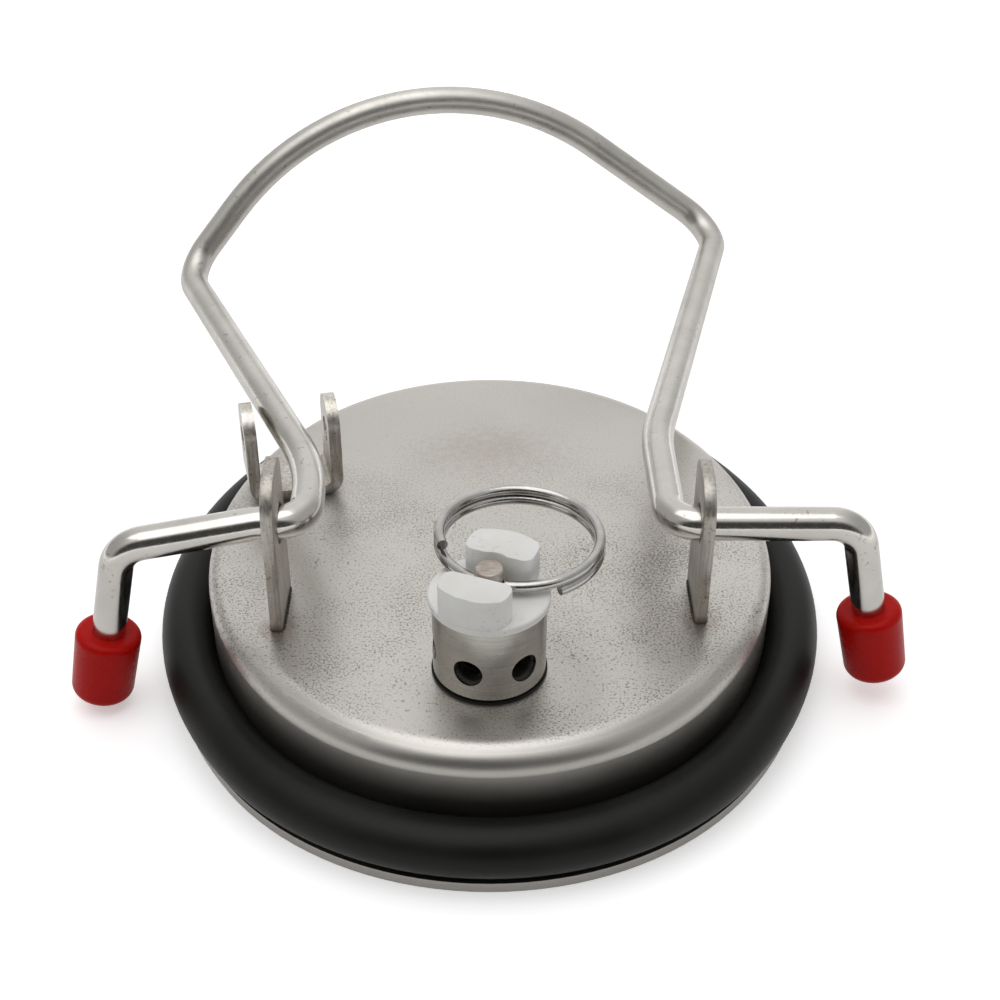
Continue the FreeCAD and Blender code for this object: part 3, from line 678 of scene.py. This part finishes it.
def slab(work, outline, holes, thickness):
    """Flat plate with holes from outlines in one plane, its thickness added along a vector."""
    loops = closed_loop(work, outline)
    for hole in holes:
        loops += closed_loop(work, hole)
    filled = bmesh.ops.triangle_fill(work, edges=loops, use_beauty=True)
    faces = [item for item in filled["geom"] if isinstance(item, bmesh.types.BMFace)]
    grown = bmesh.ops.extrude_face_region(work, geom=faces, use_keep_orig=True)
    moved = [item for item in grown["geom"] if isinstance(item, bmesh.types.BMVert)]
    bmesh.ops.translate(work, verts=moved, vec=thickness)


def bevel(work, edges, width, segments):
    bmesh.ops.bevel(work, geom=edges, offset=width, segments=segments, profile=0.5, affect="EDGES")


def is_sharp(edge, degrees):
    """Whether an edge joins two faces that turn by this angle or more."""
    return len(edge.link_faces) == 2 and edge.calc_face_angle(0.0) >= math.radians(degrees)


def break_edges(work, width, above=None):
    """Narrow bevel of every hard edge, or only of those above a level."""
    bmesh.ops.recalc_face_normals(work, faces=work.faces)
    hard = []
    for edge in work.edges:
        in_reach = above is None or min(corner.co.z for corner in edge.verts) > above
        if in_reach and is_sharp(edge, degrees=50):
            hard.append(edge)
    bevel(work, hard, width, segments=2)


def tab_mesh(work, low, high, hinge, hole_radius):
    """Upright plate, broadly rounded at its front corner and less at the rear, with the hinge's hole."""
    front = 5.6 * MM
    rear = 2.6 * MM
    outline = [(low.y, low.z), (high.y, low.z)]
    outline += arc((high.y - rear, high.z - rear), rear, 0, 90, 10)
    outline += arc((low.y + front, high.z - front), front, 90, 180, 20)
    hole = arc((hinge.y, hinge.z), hole_radius, 0, 330, 31)
    thickness = Vector((high.x - low.x, 0, 0))

    def in_plate(points):
        return [(low.x, across, up) for across, up in points]

    slab(work, in_plate(outline), [in_plate(hole)], thickness)
    break_edges(work, sizes().edge_wear)


def lobe_outline(side, slot_half, half_length, reach, bite):
    """Lobe in plan: straight along the slot, bitten out round the stem, and round with the disc outside."""
    half_angle = math.degrees(math.asin(half_length / reach))
    outline = arc((0, 0), reach, 90 - half_angle, 90 + half_angle, 14)
    outline.append((-half_length, slot_half))
    if bite > slot_half:
        opening = math.degrees(math.acos(slot_half / bite))
        outline += arc((0, 0), bite, 90 + opening, 90 - opening, 10)
    outline.append((half_length, slot_half))
    return [(across, side * away) for across, away in outline]


def lobe_mesh(work, outline, place, low, high, flash):
    """Lobe raised from its outline, with round upright corners and a slightly ragged top rim."""
    broken_edge = 0.16 * MM
    ragged_depth = 0.3 * MM
    ragged_scale = 900
    past_the_bite = 3 * MM
    least_upright = 0.5 * MM
    just_below = 0.05 * MM
    lobe = bmesh.new()
    slab(lobe, [(across, away, low) for across, away in outline], [], Vector((0, 0, high - low)))
    corners = []
    for edge in lobe.edges:
        first, second = (corner.co for corner in edge.verts)
        upright = abs(first.z - second.z) > least_upright
        if upright and is_sharp(edge, degrees=45) and abs(first.x) > past_the_bite:
            corners.append(edge)
    bevel(lobe, corners, sizes().lobe_corner, segments=5)
    break_edges(lobe, broken_edge, above=high - just_below)
    for corner in lobe.verts:
        if corner.co.z > high - ragged_depth:
            corner.co.z += flash * noise.noise(corner.co * ragged_scale)
    lobe.transform(place)
    part = bpy.data.meshes.new("lobe")
    lobe.to_mesh(part)
    lobe.free()
    work.from_mesh(part)
    bpy.data.meshes.remove(part)


def ring_of_revolution(work, profile, place):
    """Closed profile of radius and height turned round the upright axis."""
    steps = 96
    rounds = []
    for radius, height in profile:
        circle = []
        for step in range(steps):
            angle = 2 * math.pi * step / steps
            point = Vector((radius * math.cos(angle), radius * math.sin(angle), height))
            circle.append(work.verts.new(place @ point))
        rounds.append(circle)
    for index, circle in enumerate(rounds):
        below = rounds[index - 1]
        for step in range(steps):
            after = (step + 1) % steps
            work.faces.new((below[step], below[after], circle[after], circle[step]))


def wire_section(work, centre, across, up, radius):
    """Corners of a round wire's section, in the plane of two directions."""
    sides = 10
    ring = []
    for corner in range(sides):
        angle = 2 * math.pi * corner / sides
        ring.append(work.verts.new(centre + (across * math.cos(angle) + up * math.sin(angle)) * radius))
    return ring


def close_wire(work, rings):
    """Skin over a row of sections, with both ends closed."""
    for first, second in zip(rings, rings[1:]):
        for corner in range(len(first)):
            after = (corner + 1) % len(first)
            work.faces.new((first[corner], first[after], second[after], second[corner]))
    work.faces.new(reversed(rings[0]))
    work.faces.new(rings[-1])


def weld_bead(work, start, end, radius, ripple, seed):
    """Rippled bead of round section from one point to another, closed by rounded ends."""
    along = end - start
    spacing = radius * 0.5
    steps = max(8, int(along.length / spacing))
    wave = radius * 1.4
    bluntness = 0.02
    forward = along.normalized()
    side_way = forward.cross(UP).normalized()
    up_way = side_way.cross(forward)
    rings = []
    for step in range(steps + 1):
        share = step / steps
        taper = math.sqrt(max(bluntness, 1 - abs(2 * share - 1) ** 8))
        swell = 1 + ripple * math.sin(share * along.length / wave * math.pi)
        swell += ripple * noise.noise(Vector((share * 9 + seed, seed * 3.1, 0)))
        rings.append(wire_section(work, start + along * share, side_way, up_way, radius * taper * swell))
    close_wire(work, rings)


def guide_cap_mesh(work):
    """Plug, disc and two raised lobes of the guide cap, with a slot between them and a bite for the stem."""
    low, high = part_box("guide_cap")
    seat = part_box("valve_body")[1].z
    middle = joint_place("ring_hinge")
    slot_way = joint_axis("ring_hinge")
    turn = math.atan2(slot_way[1], slot_way[0])
    place = Matrix.Translation((middle[0], middle[1], 0)) @ Matrix.Rotation(turn, 4, "Z")
    bore = 2.2 * MM
    plug = 4.9 * MM
    disc = 8.0 * MM
    disc_top = seat + 1.2 * MM
    inside_disc = 0.02 * MM
    rim = 0.18 * MM
    half_length = 4.75 * MM
    bite = 2.75 * MM
    sunk = 0.05 * MM
    room_for_flash = 0.12 * MM
    # For each lobe: its side of the slot, its distance from the slot's middle, how ragged its rim is
    rear = (1, 2.35 * MM, 0.03 * MM)
    front = (-1, 2.9 * MM, 0.14 * MM)
    ring_of_revolution(work, [
        (bore, low.z), (plug, low.z), (plug, seat), (disc - rim, seat), (disc, seat + rim),
        (disc, disc_top - rim), (disc - rim, disc_top), (bore, disc_top),
    ], place)
    for side, slot_half, flash in (rear, front):
        outline = lobe_outline(side, slot_half, half_length, disc - inside_disc, bite)
        lobe_mesh(work, outline, place, disc_top - sunk, high.z - room_for_flash, flash)


def spring_mesh(work):
    """Coil of the relief spring between the poppet and the washer, a hair clear of both."""
    low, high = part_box("relief_spring")
    wire = 0.4 * MM
    clear = 0.01 * MM
    turns = 6
    steps = turns * 30
    reach = (high.x - low.x) / 2 - wire
    lowest = low.z + wire + clear
    rise = high.z - wire - clear - lowest
    rings = []
    for step in range(steps + 1):
        angle = 2 * math.pi * turns * step / steps
        outward = Vector((math.cos(angle), math.sin(angle), 0))
        centre = Vector(((low.x + high.x) / 2, (low.y + high.y) / 2, lowest + rise * step / steps))
        rings.append(wire_section(work, centre + outward * reach, outward, UP, wire))
    close_wire(work, rings)


# Operators, one for each piece or group of like pieces

class KEGLID_OT_pan(bpy.types.Operator):
    """Finish the drawn pan and the collar under it"""
    bl_idname = "keg_lid.pan"
    bl_label = "Pan"

    def execute(self, context):
        finish_nodes(["lid_shell", "threaded_collar"], pan_finish())
        return {"FINISHED"}


class KEGLID_OT_rim_seal(bpy.types.Operator):
    """Finish the rim seal, the valve gasket and the poppet's seal in black rubber"""
    bl_idname = "keg_lid.rim_seal"
    bl_label = "Rim seal"

    def execute(self, context):
        finish_nodes(["rim_seal", "valve_gasket", "poppet_seal"], rubber_finish())
        return {"FINISHED"}


class KEGLID_OT_bail(bpy.types.Operator):
    """Finish the bail wire and its red foot caps"""
    bl_idname = "keg_lid.bail"
    bl_label = "Bail"

    def execute(self, context):
        finish_nodes(["bail_wire"], wire_finish())
        finish_nodes(["left_foot_cap", "right_foot_cap"], red_finish())
        return {"FINISHED"}


class KEGLID_OT_plates(bpy.types.Operator):
    """Cut and finish the pivot tabs, finish the lock bracket, and lay weld beads at the tabs' feet"""
    bl_idname = "keg_lid.plates"
    bl_label = "Plates"

    def execute(self, context):
        steel = plate_finish("plate_steel_cut", 0.86)
        finish_nodes(["left_pivot_tab", "right_pivot_tab"], steel)
        # Painted light: the bracket's copy of the plate steel is 1.35 times as bright, to lift its ears,
        # which face the dark front; the tabs' copy is at 0.86.
        finish_nodes(["lock_bracket"], plate_finish("plate_steel_bracket_painted_light", 1.35))
        bead = weld_finish()
        radius = sizes().bead_radius
        short_of_corner = 0.4 * MM
        hinge = Vector(joint_place("bail_hinge"))
        for side in ("left", "right"):
            low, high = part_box(side + "_pivot_tab")

            def plate(work, low=low, high=high):
                tab_mesh(work, low, high, hinge, HINGE_HOLE_RADIUS)

            def two_beads(work, low=low, high=high):
                for seed, across in enumerate((low.x, high.x)):
                    start = Vector((across, low.y + short_of_corner, low.z))
                    end = Vector((across, high.y - short_of_corner, low.z))
                    weld_bead(work, start, end, radius, sizes().ripple, seed + 1)

            tab = mesh_piece(side + "_tab_plate", plate, steel, "lid")
            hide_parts(side + "_pivot_tab")
            mesh_piece(side + "_tab_welds", two_beads, bead, "lid")
        return {"FINISHED"}


class KEGLID_OT_relief_valve(bpy.types.Operator):
    """Finish the relief valve's turned parts, mould its white guide cap and coil its spring"""
    bl_idname = "keg_lid.relief_valve"
    bl_label = "Relief valve"

    def execute(self, context):
        finish_nodes(["valve_body"], turned_finish())
        finish_nodes(["valve_stem"], stem_finish())
        darkened = spring_finish()
        finish_nodes(["relief_spring", "spring_washer", "poppet"], darkened)
        finish_nodes(["split_ring"], ring_finish())
        moulded = white_finish()
        finish_nodes(["guide_cap"], moulded)
        cap = mesh_piece("guide_cap_moulded", guide_cap_mesh, moulded, "lid")
        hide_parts("guide_cap")
        coil = mesh_piece("relief_spring_coil", spring_mesh, darkened, "lid")
        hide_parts("relief_spring")
        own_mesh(coil)
        return {"FINISHED"}


class KEGLID_OT_stage(bpy.types.Operator):
    """Set up the pale floor, the world, the lamp and the camera"""
    bl_idname = "keg_lid.stage"
    bl_label = "Studio"

    def execute(self, context):
        make_floor()
        make_world()
        make_lamp()
        make_camera()
        return {"FINISHED"}


# Studio

def seen_directly(tree):
    """Two masks: rays from the camera, a mirror or glass, and rays from the camera alone."""
    path = add(tree, "ShaderNodeLightPath").outputs
    seen = greater(tree, path["Is Camera Ray"], path["Is Glossy Ray"])
    return greater(tree, seen, path["Is Transmission Ray"]), path["Is Camera Ray"]


def make_floor():
    """Pale floor under the object, clear from below; it glows less nearby, so that shadows show there."""
    near_in_mirrors = (0.12, 0.12, 0.12)
    near_to_camera = (0.38, 0.38, 0.38)
    fade_start = 0.15
    fade_end = 0.60
    reach = sizes().floor_reach
    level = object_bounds()[0].z
    mesh = bpy.data.meshes.new("studio_floor")
    signs = ((-1, -1), (1, -1), (1, 1), (-1, 1))
    mesh.from_pydata([(reach * across, reach * away, level) for across, away in signs], [], [(0, 1, 2, 3)])
    material, tree, shader = new_material("studio_floor")
    seen, from_camera = seen_directly(tree)
    geometry = add(tree, "ShaderNodeNewGeometry").outputs
    far_off = remap(tree, length_of(tree, geometry["Position"]), fade_start, fade_end)
    near = mix_colour(tree, from_camera, near_in_mirrors, near_to_camera)
    set_inputs(tree, shader, {
        "Base Color": opaque(colours().backdrop), "Roughness": 0.9, "Specular IOR Level": 0.1,
        "Emission Color": mix_colour(tree, seen, BLACK, mix_colour(tree, far_off, near, WHITE)),
        "Emission Strength": 1.0,
        "Alpha": one_less(tree, geometry["Backfacing"]),
    })
    mesh.materials.append(material)
    floor = bpy.data.objects.new("studio_floor", mesh)
    bpy.context.scene.collection.objects.link(floor)
    floor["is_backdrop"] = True


def make_world():
    """Light all round: white to the camera, else greyer at the sides and with a dark wall in front."""
    ambient = (0.84, 0.84, 0.84)
    side_grey = (0.52, 0.52, 0.52)
    front_dark = (0.070, 0.070, 0.066)
    side_starts = 0.20
    side_full = 0.85
    wall_starts = -0.52
    wall_full = -0.74
    world = bpy.data.worlds.new("studio")
    bpy.context.scene.world = world
    world.use_nodes = True
    tree = world.node_tree
    backdrop = next(node for node in tree.nodes if node.type == "BACKGROUND")
    seen, from_camera = seen_directly(tree)
    not_camera = one_less(tree, from_camera)
    way = split(tree, add(tree, "ShaderNodeTexCoord").outputs["Generated"])
    off_middle = math_node(tree, "ABSOLUTE", way["X"])
    sideways = remap(tree, off_middle, side_starts, side_full, kind="SMOOTHSTEP")
    ahead = remap(tree, way["Y"], wall_starts, wall_full)
    lit = mix_colour(tree, seen, ambient, WHITE)
    room = mix_colour(tree, times(tree, sideways, not_camera), lit, side_grey)
    walled = mix_colour(tree, times(tree, ahead, not_camera), room, front_dark)
    set_inputs(tree, backdrop, {"Color": walled, "Strength": 1.0})


def make_lamp():
    """Broad soft lamp overhead, a little to the left and in front."""
    data = bpy.data.lights.new("overhead_lamp", "AREA")
    data.shape = "RECTANGLE"
    data.size = 0.75
    data.size_y = 0.85
    data.energy = 2.2
    lamp = bpy.data.objects.new("overhead_lamp", data)
    lamp.location = Vector((-0.10, -0.08, 0.85))
    lamp.rotation_euler = (-lamp.location).to_track_quat("-Z", "Y").to_euler()
    bpy.context.scene.collection.objects.link(lamp)


def make_camera():
    """Camera at the photograph's angle, from the ovals of the pan and the places of the bail's bends."""
    data = bpy.data.cameras.new("photo_camera")
    data.sensor_width = 36.0
    data.lens = 56.9
    data.clip_start = 0.01
    camera = bpy.data.objects.new("photo_camera", data)
    camera.location = Vector((0.65, -191.08, 138.09)) * MM
    aim = Vector((1.50, 10.01, 0.0)) * MM
    roll_degrees = 0.205
    level = (aim - camera.location).to_track_quat("-Z", "Y").to_matrix()
    roll = Matrix.Rotation(math.radians(roll_degrees), 3, "Z")
    camera.rotation_euler = (level @ roll).to_euler()
    bpy.context.scene.collection.objects.link(camera)
    bpy.context.scene.camera = camera
    bpy.context.scene.view_settings.view_transform = "Standard"


class KEGLID_PT_panel(bpy.types.Panel):
    """Keg lid pieces"""
    bl_idname = "KEGLID_PT_panel"
    bl_label = "Keg lid"
    bl_space_type = "VIEW_3D"
    bl_region_type = "UI"
    bl_category = "Keg lid"

    def draw(self, context):
        for group in (context.scene.keg_lid_sizes, context.scene.keg_lid_colours):
            box = self.layout.box()
            for name in group.__annotations__:
                box.prop(group, name)
        for operator in OPERATORS:
            self.layout.operator(operator.bl_idname)


OPERATORS = [
    KEGLID_OT_pan,
    KEGLID_OT_rim_seal,
    KEGLID_OT_bail,
    KEGLID_OT_plates,
    KEGLID_OT_relief_valve,
    KEGLID_OT_stage,
]
CLASSES = [KegLidSizes, KegLidColours, *OPERATORS, KEGLID_PT_panel]


def register():
    for cls in CLASSES:
        bpy.utils.register_class(cls)
    bpy.types.Scene.keg_lid_sizes = PointerProperty(type=KegLidSizes)
    bpy.types.Scene.keg_lid_colours = PointerProperty(type=KegLidColours)


def unregister():
    del bpy.types.Scene.keg_lid_colours
    del bpy.types.Scene.keg_lid_sizes
    for cls in reversed(CLASSES):
        bpy.utils.unregister_class(cls)


def main():
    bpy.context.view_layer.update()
    register()
    for operator in OPERATORS:
        group, name = operator.bl_idname.split(".")
        getattr(getattr(bpy.ops, group), name)()


if __name__ == "__main__":
    main()
